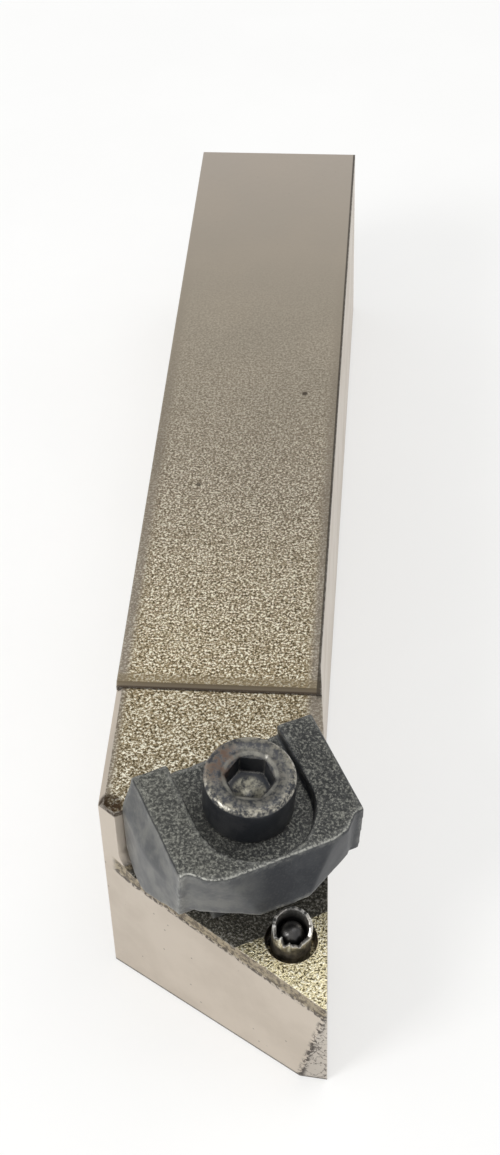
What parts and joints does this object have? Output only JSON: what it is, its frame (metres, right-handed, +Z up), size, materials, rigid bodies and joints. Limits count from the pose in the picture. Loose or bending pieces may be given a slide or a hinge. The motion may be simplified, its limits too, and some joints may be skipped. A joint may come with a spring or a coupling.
{
  "type": "turning tool holder",
  "caption": "Rectangular-shank turning tool holder for a triangular insert, with a wedge clamp and socket-head screw; insert and shim missing, locating pin broken short.",
  "frame": {"origin": "middle of the shank's lower face, half way along the holder's whole length", "axes": "+Y along the shank towards the butt end, +X towards the cutting side, +Z up, square to the lower face"},
  "size_m": [0.025, 0.125, 0.0322],
  "materials": {
    "plated_steel": "fine grained nickel plate",
    "black_clamp": "black oxide, blasted top",
    "black_screw": "black oxide, worn at the rim",
    "spring_steel": "oiled spring steel",
    "pin_steel": "hardened steel, broken rim bright"
  },
  "bodies": {
    "holder": {"holder_body": "plated_steel", "locating_pin": "pin_steel"},
    "clamp": {"wedge_clamp": "black_clamp"},
    "screw": {"clamp_screw": "black_screw", "retaining_ring": "spring_steel"}
  },
  "joints": [
    {"name": "clamp_lift", "type": "slide", "parent": "holder", "child": "clamp", "axis": [0.0705, -0.1299, 0.989], "range_m": [0, 0.0055]},
    {"name": "screw_turn", "type": "hinge", "parent": "clamp", "child": "screw", "pos_m": [0.00358, -0.04758, 0.01675], "axis": [0.0705, -0.1299, 0.989], "range_deg": [0, 2475]}
  ],
  "couplings": [
    {"joint": "screw_turn", "follows": "clamp_lift", "rad_per_m": 7854}
  ]
}
